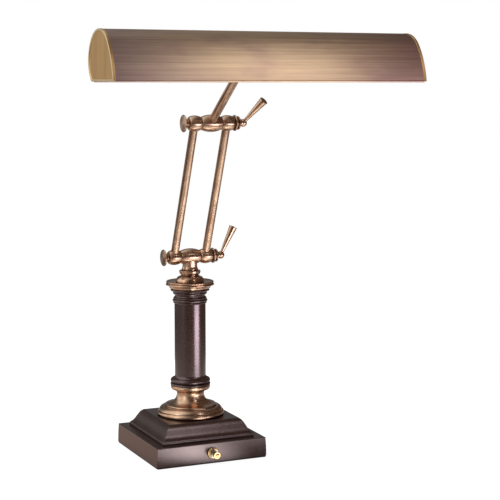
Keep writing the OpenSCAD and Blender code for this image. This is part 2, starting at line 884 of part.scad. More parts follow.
module shade_stem() {
    color(bronze) at_upper(stem_lean) translate([0, 0, rod_seat]) difference() {
        cylinder(h = stem_end - rod_seat, d = rod_d);
        translate([0, 0, -1]) cylinder(h = stem_reach, d = rod_bore);
    }
}

module stem_wires() {
    color([0.1, 0.1, 0.1]) at_upper(stem_lean) translate([0, 0, rod_seat + 1]) {
        cylinder(h = stem_end - rod_seat - 1, d = rod_wire_d);
    }
}

// Ring nut on the stem, where it enters the hub
module stem_collar() {
    r = stem_collar_d / 2;
    bottom = stem_reach - hub_d / 2 - stem_collar_h;
    color(bronze) at_upper(stem_lean) difference() {
        turned([[r - 1.6, bottom], [r, bottom + 2], [r, bottom + stem_collar_h - 0.6],
            [r - 0.4, bottom + stem_collar_h + 1]], rod_d / 2 + rod_fit);
        translate([0, 0, stem_reach]) sphere(d = hub_d + 2 * seat_fit);
    }
}

// Angled hub between the stem and the shade's back
module shade_hub() {
    color(bronze) difference() {
        union() {
            translate([0, hub_y, hub_z]) sphere(d = hub_d);
            at_seat() cylinder(h = hub_off, d = hub_d - 2);
            at_seat() turned([[seat_flange_d / 2 - 1, -0.7], [seat_flange_d / 2, 0.6],
                [seat_flange_d / 2, 1.8], [seat_flange_d / 2 - 2, 3.2], [hub_d / 2 - 1, 3.6]], 0);
        }
        at_upper(stem_lean) cylinder(h = stem_end, r = rod_d / 2 + rod_fit);
        at_seat() translate([0, 0, -5]) cylinder(h = nipple_out + 5, r = nipple_d / 2 + rod_fit);
        slab_x(-hub_d, hub_d) {
            polygon(arch_line(2 * seat_fit, under_z));
            translate([back_y, back_z]) circle(back_r + 2 * seat_fit);
        }
    }
}

module shade_nipple() {
    color(steel) at_seat() translate([0, 0, -nipple_in]) difference() {
        cylinder(h = nipple_in + nipple_out, d = nipple_d);
        translate([0, 0, -1]) cylinder(h = nipple_in + 6, d = rod_bore);
    }
}

// The bracket's plate bears on the curved sheet along its two long edges
plate_half = 7;
inner_r = back_r - sheet_t;
seat_in = -sheet_t - (inner_r - sqrt(inner_r * inner_r - plate_half * plate_half)) - rod_fit;

module shade_locknut() {
    color(steel) at_seat() translate([0, 0, seat_in - foot_plate_t - locknut_t]) {
        hex_nut(nut_flats, nipple_d / 2 + thread_fit, locknut_t);
    }
}

module arch_shell(grow, thick) {
    polygon(concat(arch_line(grow, under_z), reversed(arch_line(grow - thick, under_z))));
}

shell_half = shade_len / 2 - rim_len;

module shade_shell() {
    edges = arch_line(-sheet_t / 2, under_z);
    color(shade_brass) difference() {
        union() {
            slab_x(-shell_half, shell_half) arch_shell(0, sheet_t);
            for (edge = [edges[0], edges[len(edges) - 1]]) translate([-shell_half, edge[0], edge[1]]) {
                along_x() cylinder(h = 2 * shell_half, r = bead_r, $fn = 24);
            }
        }
        at_seat() translate([0, 0, -6]) cylinder(h = 12, r = nipple_d / 2 + 0.2);
    }
}

// End of the shade: a thin plate inside a raised rim
module shade_end(side) {
    outer = shade_len / 2;
    inner = outer - rim_len;
    plate = outer - end_recess;
    mirror([side < 0 ? 1 : 0, 0, 0]) color(shade_brass) {
        slab_x(inner, outer) difference() {
            polygon(arch_line(rim_out, under_z - rim_drop));
            polygon(arch_line(rim_out - rim_w, under_z - rim_drop + rim_w));
        }
        slab_x(plate - end_plate_t, plate) polygon(arch_line(rim_out - rim_w / 2, under_z));
    }
}

// Bracket: a box section on the nipple and an upright web between the two lamp holders
module lamp_bracket() {
    color(steel) difference() {
        union() {
            at_seat() difference() {
                translate([-bracket_w / 2, -plate_half, seat_in - bracket_deep]) {
                    cube([bracket_w, 2 * plate_half, bracket_deep]);
                }
                translate([web_t - bracket_w / 2, -plate_half - 1, seat_in - bracket_deep + foot_plate_t]) {
                    cube([bracket_w - 2 * web_t, 2 * plate_half + 2, bracket_deep - 2 * foot_plate_t]);
                }
            }
            intersection() {
                translate([-web_t / 2, lamp_y - web_half, lamp_z - web_half]) {
                    cube([web_t, seat_y - lamp_y + web_half, 2 * web_half]);
                }
                at_seat() translate([-web_t, -40, seat_in - bracket_deep - 80]) {
                    cube([2 * web_t, 80, 80]);
                }
            }
        }
        at_seat() translate([0, 0, seat_in - foot_plate_t - 1]) {
            cylinder(h = foot_plate_t + 2, r = nipple_d / 2 + fit);
        }
        at_holder_screws() cylinder(h = 4 * web_t, r = holder_screw_r + fit, center = true);
    }
}

module at_holder_screws() {
    for (y = [-holder_screw_y, holder_screw_y]) translate([0, lamp_y + y, lamp_z]) along_x() children();
}

// Moves to the lamp axis and points pieces out to one side
module at_lamp(side) {
    translate([0, lamp_y, lamp_z]) mirror([side < 0 ? 1 : 0, 0, 0]) along_x() children();
}

module lamp_holder(side) {
    r = holder_d / 2;
    color([0.92, 0.91, 0.87]) at_lamp(side) difference() {
        turned([[r - 3, web_t / 2], [r - 1, web_t / 2 + 1.5], [r - 1, web_t / 2 + 9],
            [r, web_t / 2 + 10], [r, web_t / 2 + holder_len - 1], [r - 1, web_t / 2 + holder_len]], 0);
        translate([0, 0, web_t / 2 + holder_floor]) cylinder(h = holder_len, d = lamp_cap_d + 2 * turn_gap);
        for (y = [-holder_screw_y, holder_screw_y]) translate([0, y, -1]) {
            cylinder(h = holder_floor + 6, r = holder_screw_r + fit);
        }
    }
}

// Screws through the web that hold both lamp holders
module holder_screws() {
    color(steel) at_holder_screws() {
        cylinder(h = web_t + 2 * holder_floor - 8 * fit, r = holder_screw_r, center = true);
    }
}

// Screw cap of a lamp, a shell that the glass is cemented into
module lamp_cap(side) {
    r = lamp_cap_d / 2;
    color(steel) at_lamp(side) difference() {
        turned([[4, cap_start - 2.2], [5, cap_start - 1.6],
            [r - 4, cap_start], [r - 1, cap_start + 2], [r, cap_start + 3], [r, glass_start]], 0);
        translate([0, 0, cap_start + 2]) cylinder(h = cap_len, r = r - 2.2);
    }
}

// Outline of a lamp's glass bulb, from its neck to its domed end, shrunk by the wall inside
function glass_outline(shrink) =
    let (neck_r = lamp_cap_d / 2 - 0.2, r = lamp_d / 2, end = glass_start + glass_len)
    concat([for (i = [0:6]) let (u = i / 6) [
            neck_r - shrink + (r - neck_r) * (1 - cos(180 * u)) / 2, neck_start + lamp_neck_len * u]],
        arc(r - dome_r, end - dome_r, dome_r - shrink, 0, 90, 9));

module lamp_glass(side) {
    neck_r = lamp_cap_d / 2 - 0.2;
    color([0.96, 0.95, 0.90]) at_lamp(side) difference() {
        turned(concat([[neck_r, glass_start]], glass_outline(0)), 0);
        turned(concat([[neck_r - glass_wall, glass_start - 1]], glass_outline(glass_wall)), 0);
    }
}

base_block();
base_cover();
base_weight();
bottom_plate();
plate_screws();
felt_pad();
cord_inlet();
switch_body();
switch_nut();
switch_button();
button_spring();
pipe();
pipe_nut_lower();
pipe_washer_lower();
pipe_nut_upper();
bell_foot();
column_foot();
column_shaft();
column_capital();
cap_disc();
cap_collar();
column_wires();
swivel_collar();
swivel_nut();
lower_barrel();
lower_bolt();
lower_washer();
lower_lever_hub();
lower_lever_handle();
lower_knuckle(-1);  // lower_knuckle_left
lower_knuckle(1);  // lower_knuckle_right
rod(-1);  // rod_left
rod(1);  // rod_right
rod_wires();
upper_knuckle(-1);  // upper_knuckle_left
upper_knuckle(1);  // upper_knuckle_right
upper_barrel();
upper_bolt();
upper_washer();
upper_lever_hub();
upper_lever_handle();
shade_stem();
stem_wires();
stem_collar();
shade_hub();
shade_nipple();
shade_locknut();
shade_shell();
shade_end(-1);  // shade_end_left
shade_end(1);  // shade_end_right
lamp_bracket();
holder_screws();
lamp_holder(-1);  // lamp_holder_left
lamp_holder(1);  // lamp_holder_right
lamp_cap(-1);  // lamp_cap_left
lamp_cap(1);  // lamp_cap_right
lamp_glass(-1);  // lamp_glass_left
lamp_glass(1);  // lamp_glass_right
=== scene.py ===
"""Piano lamp: finishes, finer detail, camera and light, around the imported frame."""

import json
import math

import bmesh
import bpy
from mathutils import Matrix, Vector


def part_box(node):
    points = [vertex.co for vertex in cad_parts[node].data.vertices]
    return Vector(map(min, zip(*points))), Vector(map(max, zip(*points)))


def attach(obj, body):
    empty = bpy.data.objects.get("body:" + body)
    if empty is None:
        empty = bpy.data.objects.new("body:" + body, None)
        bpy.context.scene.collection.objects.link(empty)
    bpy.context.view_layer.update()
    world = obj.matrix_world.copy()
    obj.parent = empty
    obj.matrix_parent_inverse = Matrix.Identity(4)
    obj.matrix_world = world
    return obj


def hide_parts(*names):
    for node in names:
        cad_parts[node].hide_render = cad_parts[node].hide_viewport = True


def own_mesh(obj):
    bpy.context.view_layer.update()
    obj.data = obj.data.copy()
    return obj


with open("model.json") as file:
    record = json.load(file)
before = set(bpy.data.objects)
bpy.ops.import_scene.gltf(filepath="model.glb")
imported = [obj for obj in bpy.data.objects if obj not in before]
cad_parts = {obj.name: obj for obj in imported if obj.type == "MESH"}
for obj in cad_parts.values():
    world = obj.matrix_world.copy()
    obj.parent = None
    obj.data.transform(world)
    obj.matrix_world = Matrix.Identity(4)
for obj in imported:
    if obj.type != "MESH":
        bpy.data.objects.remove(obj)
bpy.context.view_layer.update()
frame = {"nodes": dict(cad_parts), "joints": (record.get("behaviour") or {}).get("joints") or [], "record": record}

NODES = frame["nodes"]
SUBPARTS = frame["record"]["subparts"]
BODIES = frame["record"]["behaviour"]["bodies"]
SLOT_OF = {part["node"]: part["material_slot"] for part in SUBPARTS}
BODY_OF = {node: body for body, nodes in BODIES.items() for node in nodes}
JOINT_PLACE = {joint["name"]: Vector(joint["pos_m"]) for joint in frame["joints"] if joint.get("pos_m")}
MM = 0.001


# ---------------------------------------------------------------- node trees

# The places of the Mix node's colour sockets: its two inputs and its result
MIX_A, MIX_B, MIX_RESULT = 6, 7, 2
AO_SAMPLES = 8


class Nodes:
    """Short calls that build a node tree. An input is a socket's name or place, with a value or a link."""

    def __init__(self, owner):
        owner.use_nodes = True
        self.tree = owner.node_tree
        self.tree.nodes.clear()

    def plug(self, value, socket):
        if isinstance(value, bpy.types.NodeSocket):
            self.tree.links.new(value, socket)
        else:
            socket.default_value = value

    def add(self, kind, inputs=None, **settings):
        node = self.tree.nodes.new("ShaderNode" + kind)
        for name, value in settings.items():
            setattr(node, name, value)
        for name, value in (inputs or {}).items():
            self.plug(value, node.inputs[name])
        return node

    def math(self, operation, *values):
        return self.add("Math", dict(enumerate(values)), operation=operation).outputs[0]

    def weighted(self, a, a_share, b, b_share):
        """The sum of two values, each times its share."""
        return self.math("ADD", self.math("MULTIPLY", a, a_share), self.math("MULTIPLY", b, b_share))

    def vector(self, operation, *values, output="Vector"):
        return self.add("VectorMath", dict(enumerate(values)), operation=operation).outputs[output]

    def span(self, value, low, high, to_low, to_high, **settings):
        """Maps low to high onto to_low to to_high, and holds the ends."""
        inputs = {"Value": value, "From Min": low, "From Max": high, "To Min": to_low, "To Max": to_high}
        return self.add("MapRange", inputs, **settings).outputs[0]

    def ranged(self, value, low, high, to_low=0.0, to_high=1.0):
        return self.span(value, low, high, to_low, to_high, clamp=True)

    def eased(self, value, low, high, to_low, to_high):
        return self.span(value, low, high, to_low, to_high, interpolation_type="SMOOTHSTEP")


class Finish(Nodes):
    """One material of the lamp. The scales of its textures are in features per metre."""

    def __init__(self, name):
        self.material = bpy.data.materials.new(name)
        super().__init__(self.material)
        self.object_coords = self.add("TexCoord").outputs["Object"]

    def axis_value(self, axis):
        return self.add("SeparateXYZ", {"Vector": self.object_coords}).outputs[axis]

    def noise(self, scale, detail=4.0, roughness=0.55, coords=None):
        coords = coords or self.object_coords
        inputs = {"Vector": coords, "Scale": scale, "Detail": detail, "Roughness": roughness}
        return self.add("TexNoise", inputs).outputs["Fac"]

    def lines(self, scale, detail=3.0, roughness=0.55, turn=(0, 0, 0)):
        """Noise with its own scale along each axis, so that it runs in lines along the lowest of them."""
        turned = self.add("Mapping", {"Vector": self.object_coords, "Rotation": turn}).outputs[0]
        stretched = self.add("Mapping", {"Vector": turned, "Scale": scale}).outputs[0]
        return self.noise(1.0, detail, roughness, stretched)

    def rings(self, fine, broad):
        """Noise that is fine over the height and the radius about Z, and broad round it: a lathe's lines."""
        x, y, z = (self.axis_value(axis) for axis in "XYZ")
        radius = self.math("SQRT", self.math("ADD", self.math("MULTIPLY", x, x), self.math("MULTIPLY", y, y)))
        inputs = {
            "X": self.math("MULTIPLY", radius, fine),
            "Y": self.math("MULTIPLY", z, fine),
            "Z": self.math("MULTIPLY", self.math("ADD", x, y), broad),
        }
        return self.noise(1.0, 3.0, coords=self.add("CombineXYZ", inputs).outputs[0])

    def varied(self, noise, low, high):
        """A number that goes from low to high with a noise, whose values lie mostly between 0.3 and 0.7."""
        return self.ranged(noise, 0.3, 0.7, low, high)

    def mixed(self, factor, a, b):
        """The colour that goes from a to b with the factor."""
        node = self.add("Mix", {"Factor": factor}, data_type="RGBA")
        for place, colour in ((MIX_A, a), (MIX_B, b)):
            self.plug((*colour, 1) if isinstance(colour, tuple) else colour, node.inputs[place])
        return node.outputs[MIX_RESULT]

    def around(self, axis):
        """The direction round an axis. Light spreads along it, or across it at a quarter turn."""
        return self.add("Tangent", direction_type="RADIAL", axis=axis).outputs[0]

    def openness(self, distance, low, high):
        """1 in the open, and towards 0 in grooves and corners narrower than the distance."""
        opened = self.add("AmbientOcclusion", {"Distance": distance}, samples=AO_SAMPLES).outputs["AO"]
        return self.ranged(opened, low, high)

    def bumped(self, height, strength, distance):
        inputs = {"Height": height, "Strength": strength, "Distance": distance}
        return self.add("Bump", inputs).outputs[0]

    def done(self, **inputs):
        """Gives the shader its inputs, which are named as its sockets are, and returns the material."""
        shader = self.add("BsdfPrincipled")
        sockets = {socket.name.lower().replace(" ", "_"): socket for socket in shader.inputs}
        for name, value in inputs.items():
            if isinstance(value, tuple):
                value = (*value, 1)
            self.plug(value, sockets[name])
        self.add("OutputMaterial", {0: shader.outputs[0]})
        return self.material


# ---------------------------------------------------------------- materials

BRONZE_LIGHT = (0.66, 0.45, 0.31)
BRONZE_MID = (0.43, 0.262, 0.168)
BRONZE_DARK = (0.11, 0.048, 0.032)

# The shade's colours: its left end is a painted reflection, greyer, and its right end is painted shade, browner
SHADE_LEFT_PAINTED_REFLECTION = (0.56, 0.43, 0.36)
SHADE_BRASS = (0.645, 0.485, 0.315)
SHADE_RIGHT_PAINTED_SHADE = (0.47, 0.305, 0.25)
SHADE_VIOLET = (0.36, 0.235, 0.225)
SHADE_DEEP = (0.20, 0.115, 0.08)
SHADE_PAINTED_REFLECTION_FADES = (-0.165, -0.06)
SHADE_PAINTED_SHADE_GROWS = (0.06, 0.165)

END_DEEP = (0.66, 0.40, 0.155)
END_PALE = (0.86, 0.55, 0.235)
# A painted highlight along the rim of each end
END_RIM_PAINTED_HIGHLIGHT = (0.95, 0.75, 0.47)
END_FACE_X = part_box("shade_end_right")[1][0]
END_RIM_STARTS = 0.5 * MM
END_RIM_FULL = 0.2 * MM

LACQUER_DEEP = (0.012, 0.0048, 0.0030)
LACQUER_PALE = (0.024, 0.0105, 0.0066)
# Painted shade for the lacquer's grooves and corners
LACQUER_PAINTED_SHADE = (0.004, 0.0018, 0.0012)
LACQUER_SPECK = (0.100, 0.044, 0.028)


def antique_bronze(name, streaks_of, axis, spread, rough):
    """Copper-toned bronze, satin from its turning lines, with a dark patina in its grooves.

    The axis is the piece's own, and spread says whether its light spreads along that axis or round it.
    """
    f = Finish(name)
    streaks = streaks_of(f)
    cloud = f.noise(70.0, 4.0, 0.6)
    grain = f.noise(900.0, 2.0)
    open_metal = f.openness(3 * MM, 0.25, 0.75)
    tone = f.ranged(f.weighted(streaks, 0.8, cloud, 1.0), 0.70, 1.10)
    metal = f.mixed(tone, BRONZE_MID, BRONZE_LIGHT)
    patina_rough = f.ranged(open_metal, 0.0, 1.0, 0.15, 0.0)
    return f.done(
        base_color=f.mixed(open_metal, BRONZE_DARK, metal),
        metallic=1.0,
        roughness=f.math("ADD", f.varied(streaks, *rough), patina_rough),
        anisotropic=0.7,
        anisotropic_rotation=spread,
        tangent=f.around(axis),
        normal=f.bumped(f.weighted(streaks, 1.0, grain, 0.25), 0.16, 0.08 * MM),
    )


def brushed_shade(name):
    """The shade: antique brass brushed along its length, with a painted grey reflection at the left end and
    painted brown shade at the right end.
    """
    f = Finish(name)
    hair = f.lines((4, 1300, 1300), 3.0, 0.6)
    line = f.lines((7.0, 520, 520), 3.0, 0.6)
    band = f.lines((9.0, 42, 42), 3.0, 0.55)
    brushed = f.weighted(hair, 0.45, line, 0.55)
    tone = f.ranged(f.weighted(brushed, 1.0, band, 0.35), 0.50, 0.82)
    # Along its length: a painted reflection, grey, at the left end, and painted shade, brown, at the right end
    along = f.weighted(f.axis_value("X"), 1.0, f.math("SUBTRACT", band, 0.5), 0.10)
    pale = f.mixed(f.ranged(along, *SHADE_PAINTED_REFLECTION_FADES), SHADE_LEFT_PAINTED_REFLECTION, SHADE_BRASS)
    pale = f.mixed(f.ranged(along, *SHADE_PAINTED_SHADE_GROWS), pale, SHADE_RIGHT_PAINTED_SHADE)
    violet = f.ranged(f.lines((11.0, 30, 30), 3.0, 0.55), 0.50, 0.68)
    pale = f.mixed(f.math("MULTIPLY", violet, 0.5), pale, SHADE_VIOLET)
    deep = f.mixed(0.50, pale, SHADE_DEEP)
    return f.done(
        base_color=f.mixed(tone, deep, pale),
        metallic=1.0,
        roughness=f.varied(brushed, 0.36, 0.44),
        anisotropic=0.8,
        tangent=f.around("X"),
        normal=f.bumped(brushed, 0.35, 0.06 * MM),
    )


def brushed_end(name):
    """The shade's ends: golden brass brushed up and down, with a painted highlight on the rim."""
    f = Finish(name)
    hair = f.lines((900, 900, 12), 3.0, 0.6)
    cloud = f.lines((40, 60, 14))
    tone = f.ranged(f.weighted(hair, 0.6, cloud, 0.6), 0.4, 0.8)
    out = f.math("ABSOLUTE", f.axis_value("X"))
    # Painted highlight: the rim is paler from half a millimetre inside the end's outer face
    rim = f.ranged(out, END_FACE_X - END_RIM_STARTS, END_FACE_X - END_RIM_FULL)
    return f.done(
        base_color=f.mixed(rim, f.mixed(tone, END_DEEP, END_PALE), END_RIM_PAINTED_HIGHLIGHT),
        metallic=1.0,
        roughness=f.varied(hair, 0.34, 0.44),
        normal=f.bumped(hair, 0.3, 0.06 * MM),
    )


def dark_paint(name):
    """Mahogany-bronze lacquer over metal, satin, with a fine speckle, a little orange peel and painted shade in
    its grooves.
    """
    f = Finish(name)
    speckle = f.ranged(f.noise(1300.0, 2.0, 0.7), 0.50, 0.72)
    cloud = f.noise(26.0, 3.0)
    peel = f.noise(420.0, 2.0)
    body = f.mixed(cloud, LACQUER_DEEP, LACQUER_PALE)
    # Painted shade: the lacquer is darker in grooves and corners narrower than 4 mm
    body = f.mixed(f.openness(4 * MM, 0.3, 0.9), LACQUER_PAINTED_SHADE, body)
    return f.done(
        base_color=f.mixed(speckle, body, LACQUER_SPECK),
        roughness=f.varied(cloud, 0.22, 0.28),
        ior=1.54,
        specular_ior_level=1.0,
        specular_tint=(1.0, 0.80, 0.80),
        normal=f.bumped(f.weighted(peel, 1.0, speckle, 0.5), 0.06, 0.08 * MM),
    )


def polished_brass(name):
    """Yellow polished brass of the switch, with light tarnish in its steps."""
    f = Finish(name)
    cloud = f.noise(240.0, 3.0)
    metal = f.mixed(cloud, (0.62, 0.42, 0.17), (0.78, 0.56, 0.27))
    return f.done(
        base_color=f.mixed(f.openness(2 * MM, 0.3, 0.9), (0.14, 0.07, 0.025), metal),
        metallic=1.0,
        roughness=f.varied(cloud, 0.20, 0.30),
        normal=f.bumped(cloud, 0.1, 0.05 * MM),
    )


def zinc_steel(name):
    """Zinc-plated steel of the hidden fasteners and brackets, with its spangle."""
    f = Finish(name)
    cells = f.add("TexVoronoi", {"Vector": f.object_coords, "Scale": 160.0}).outputs["Color"]
    grey = f.add("RGBToBW", {"Color": cells}).outputs[0]
    scratch = f.lines((900, 40, 40))
    return f.done(
        base_color=f.mixed(grey, (0.42, 0.43, 0.44), (0.66, 0.67, 0.68)),
        metallic=1.0,
        roughness=f.ranged(f.math("ADD", grey, scratch), 0.4, 1.4, 0.26, 0.44),
        normal=f.bumped(scratch, 0.2, 0.05 * MM),
    )


def cast_iron(name):
    """Rough black iron of the weight."""
    f = Finish(name)
    sand = f.noise(380.0, 6.0, 0.7)
    return f.done(
        base_color=f.mixed(sand, (0.020, 0.020, 0.022), (0.075, 0.070, 0.068)),
        metallic=0.6,
        roughness=f.varied(sand, 0.6, 0.85),
        normal=f.bumped(sand, 0.8, 0.4 * MM),
    )


def felt(name):
    """Black felt with matted fibres."""
    f = Finish(name)
    fibres = f.lines((700, 1300, 700), 6.0, 0.75)
    return f.done(
        base_color=f.mixed(fibres, (0.008, 0.008, 0.009), (0.040, 0.040, 0.042)),
        roughness=f.varied(f.noise(90.0, 3.0), 0.88, 0.98),
        sheen_weight=0.3,
        sheen_roughness=0.5,
        normal=f.bumped(fibres, 0.9, 0.4 * MM),
    )


def black_plastic(name):
    """Moulded black plastic with a fine texture."""
    f = Finish(name)
    texture = f.noise(1100.0, 3.0)
    return f.done(
        base_color=f.mixed(f.noise(120.0, 2.0), (0.018, 0.018, 0.019), (0.030, 0.030, 0.032)),
        roughness=f.varied(texture, 0.42, 0.58),
        normal=f.bumped(texture, 0.3, 0.06 * MM),
    )


def porcelain(name):
    """Glazed porcelain of the lamp holders, slightly uneven, with a few pits."""
    f = Finish(name)
    cloud = f.noise(60.0, 3.0)
    pits = f.ranged(f.noise(500.0, 2.0), 0.66, 0.74)
    glaze = f.mixed(cloud, (0.80, 0.78, 0.71), (0.86, 0.85, 0.80))
    return f.done(
        base_color=f.mixed(pits, glaze, (0.55, 0.50, 0.42)),
        roughness=f.varied(cloud, 0.12, 0.22),
        coat_weight=0.6,
        coat_roughness=0.08,
        normal=f.bumped(cloud, 0.15, 0.3 * MM),
    )


def lamp_metal(name):
    """Aluminium of the lamps' screw caps."""
    f = Finish(name)
    scratch = f.lines((1200, 60, 60))
    return f.done(
        base_color=f.mixed(scratch, (0.62, 0.62, 0.60), (0.78, 0.78, 0.76)),
        metallic=1.0,
        roughness=f.varied(scratch, 0.22, 0.36),
        normal=f.bumped(scratch, 0.2, 0.05 * MM),
    )


def frosted_glass(name):
    """Inside-frosted lamp glass, milky and smooth outside."""
    f = Finish(name)
    frost = f.noise(800.0, 2.0)
    return f.done(
        base_color=f.mixed(f.noise(45.0, 3.0), (0.86, 0.84, 0.78), (0.93, 0.92, 0.88)),
        roughness=f.varied(frost, 0.16, 0.24),
        transmission_weight=0.35,
        ior=1.46,
        coat_weight=0.5,
        coat_roughness=0.05,
        normal=f.bumped(frost, 0.05, 0.05 * MM),
    )


# ---------------------------------------------------------------- which piece wears what

# The way that bronze spreads its light, as a share of a full turn from the direction round its axis
SPREAD_ALONG = 0.25
SPREAD_ROUND = 0.0
TURNED_ABOUT_Z = {"bell_foot", "cap_disc", "cap_collar", "swivel_collar"}
RODS = {"rod_left", "rod_right", "shade_stem"}

arm = JOINT_PLACE["upper_hinge"] - JOINT_PLACE["lower_hinge"]
arm_lean = math.atan2(-arm.y, arm.z)


def lathe_lines(f):
    return f.rings(1300, 25)


def lines_across(f):
    return f.lines((1400, 30, 30))


def lines_along_rod(f):
    return f.lines((1100, 1100, 14), turn=(-arm_lean, 0, 0))


MATERIALS = {
    "dark_paint": dark_paint("dark_paint"),
    "shade_brass": brushed_shade("shade_brass"),
    "end_brass": brushed_end("end_brass"),
    "switch_brass": polished_brass("switch_brass"),
    "zinc_steel": zinc_steel("zinc_steel"),
    "black_iron": cast_iron("black_iron"),
    "felt": felt("felt"),
    "black_plastic": black_plastic("black_plastic"),
    "wire_plastic": black_plastic("wire_plastic"),
    "porcelain": porcelain("porcelain"),
    "lamp_cap_metal": lamp_metal("lamp_cap_metal"),
    "lamp_glass": frosted_glass("lamp_glass"),
}
bronze_up = antique_bronze("antique_bronze_up", lathe_lines, "Z", SPREAD_ALONG, (0.22, 0.30))
bronze_across = antique_bronze("antique_bronze_across", lines_across, "X", SPREAD_ALONG, (0.26, 0.36))
bronze_rod = antique_bronze("antique_bronze_rod", lines_along_rod, "Z", SPREAD_ROUND, (0.30, 0.40))


def material_for(node):
    if SLOT_OF[node] != "antique_bronze":
        return MATERIALS[SLOT_OF[node]]
    if node in TURNED_ABOUT_Z:
        return bronze_up
    return bronze_rod if node in RODS else bronze_across


for part in SUBPARTS:
    slots = NODES[part["node"]].data.materials
    slots.clear()
    slots.append(material_for(part["node"]))


# ---------------------------------------------------------------- finer shapes

ROUNDED_CORNERS = {
    "base_block": 0.9 * MM,
    "base_cover": 0.7 * MM,
    "shade_end_left": 0.7 * MM,
    "shade_end_right": 0.7 * MM,
}
MERGE_WITHIN = 0.002 * MM
FLAT_WITHIN = math.radians(0.5)
ROUND_ABOVE = math.radians(28)
STAYS_SHARP = math.radians(45)
CORNER_STEPS = 3

SPRING_WIRE_R = 0.4 * MM
SPRING_TURNS = 6
SPRING_STEPS = 20


def mesh_of(bm, name):
    mesh = bpy.data.meshes.new(name)
    bm.to_mesh(mesh)
    bm.free()
    return mesh


def add_piece(name, mesh, node):
    """A finer piece that stands for a CAD node, wears its material and moves as it does."""
    piece = bpy.data.objects.new(name, mesh)
    bpy.context.scene.collection.objects.link(piece)
    mesh.materials.clear()
    mesh.materials.append(material_for(node))
    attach(piece, BODY_OF[node])
    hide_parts(node)
    return piece


def soften(node, width):
    """Stands in for a CAD node with its corners rounded over a width, so that they catch the light."""
    bm = bmesh.new()
    bm.from_mesh(NODES[node].data)
    bmesh.ops.remove_doubles(bm, verts=bm.verts, dist=MERGE_WITHIN)
    bmesh.ops.dissolve_limit(bm, angle_limit=FLAT_WITHIN, verts=bm.verts, edges=bm.edges)
    corners = [edge for edge in bm.edges if edge.is_manifold and edge.calc_face_angle() > ROUND_ABOVE]
    bmesh.ops.bevel(
        bm,
        geom=corners,
        offset=width,
        offset_type="OFFSET",
        segments=CORNER_STEPS,
        profile=0.5,
        affect="EDGES",
        clamp_overlap=True,
    )
    bmesh.ops.triangulate(bm, faces=[face for face in bm.faces if len(face.verts) > 4])
    for face in bm.faces:
        face.smooth = True
    for edge in bm.edges:
        edge.smooth = edge.calc_face_angle(0) < STAYS_SHARP
    name = node + "_soft"
    piece = add_piece(name, mesh_of(bm, name), node)
    piece.modifiers.new("even_shading", "WEIGHTED_NORMAL").keep_sharp = True


def tube(name, points, radius, sides=10):
    """A mesh tube with closed ends along a line of points."""
    bm = bmesh.new()
    rings = []
    across = (points[1] - points[0]).orthogonal()
    for index, point in enumerate(points):
        before, after = points[max(index - 1, 0)], points[min(index + 1, len(points) - 1)]
        along = (after - before).normalized()
        across = (across - along * across.dot(along)).normalized()
        other = along.cross(across)
        ring = []
        for side in range(sides):
            turn = 2 * math.pi * side / sides
            spoke = math.cos(turn) * across + math.sin(turn) * other
            ring.append(bm.verts.new(point + radius * spoke))
        rings.append(ring)
    for first, second in zip(rings, rings[1:]):
        for side in range(sides):
            after = (side + 1) % sides
            bm.faces.new((first[side], first[after], second[after], second[side])).smooth = True
    bm.faces.new(rings[0][::-1])
    bm.faces.new(rings[-1])
    return mesh_of(bm, name)


def wind_spring():
    """The button's return spring, wound in the room of its CAD sleeve and squashed by the button."""
    low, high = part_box("button_spring")
    radius = (high[0] - low[0]) / 2 - SPRING_WIRE_R
    middle_z = (low[2] + high[2]) / 2
    start, end = low[1] + SPRING_WIRE_R, high[1] - SPRING_WIRE_R
    steps = SPRING_TURNS * SPRING_STEPS
    points = []
    for step in range(steps + 1):
        turn = 2 * math.pi * step / SPRING_STEPS
        y = start + (end - start) * step / steps
        points.append(Vector((radius * math.cos(turn), y, middle_z + radius * math.sin(turn))))
    spring = add_piece("return_spring", tube("return_spring", points, SPRING_WIRE_R), "button_spring")
    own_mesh(spring)


for node, width in ROUNDED_CORNERS.items():
    soften(node, width)
wind_spring()


# ---------------------------------------------------------------- camera and lamps

CAMERA_PLACE = (-0.624, -1.554, 0.446)
CAMERA_YAW = math.radians(24.36)
CAMERA_PITCH = math.radians(6.83)
LENS_MM = 100.8
SENSOR_MM = 36

# Each softbox: where its middle is, what it faces, its width and height, its face's radiance, and its colour
SOFTBOXES = {
    "key_high": ((0.34, -0.84, 0.93), (0.0, -0.20, 0.46), (0.24, 0.30), 4.2, (1.0, 0.97, 0.97)),
    "key_low": ((0.88, -1.60, -0.18), (0.0, 0.0, 0.14), (1.10, 0.34), 11.5, (1.0, 0.92, 1.05)),
    "fill": ((-1.75, -0.55, 0.60), (0.0, -0.05, 0.30), (0.60, 1.30), 0.9, (1.0, 0.95, 0.92)),
}


def place_facing(name, data, place, ahead):
    """Puts a camera or a lamp at a place and turns it along a direction."""
    thing = bpy.data.objects.new(name, data)
    thing.location = place
    thing.rotation_mode = "QUATERNION"
    thing.rotation_quaternion = ahead.to_track_quat("-Z", "Y")
    bpy.context.scene.collection.objects.link(thing)
    return thing


def make_camera():
    data = bpy.data.cameras.new("camera")
    data.sensor_width = SENSOR_MM
    data.lens = LENS_MM
    level = math.cos(CAMERA_PITCH)
    ahead = Vector((math.sin(CAMERA_YAW) * level, math.cos(CAMERA_YAW) * level, -math.sin(CAMERA_PITCH)))
    bpy.context.scene.camera = place_facing("camera", data, CAMERA_PLACE, ahead)


def make_softbox(name, place, target, size, radiance, colour):
    data = bpy.data.lights.new(name, "AREA")
    data.shape = "RECTANGLE"
    data.size, data.size_y = size
    data.energy = radiance * math.pi * size[0] * size[1]
    data.color = colour
    lamp = place_facing(name, data, place, Vector(target) - Vector(place))
    lamp.visible_camera = False


# ---------------------------------------------------------------- backdrop and table

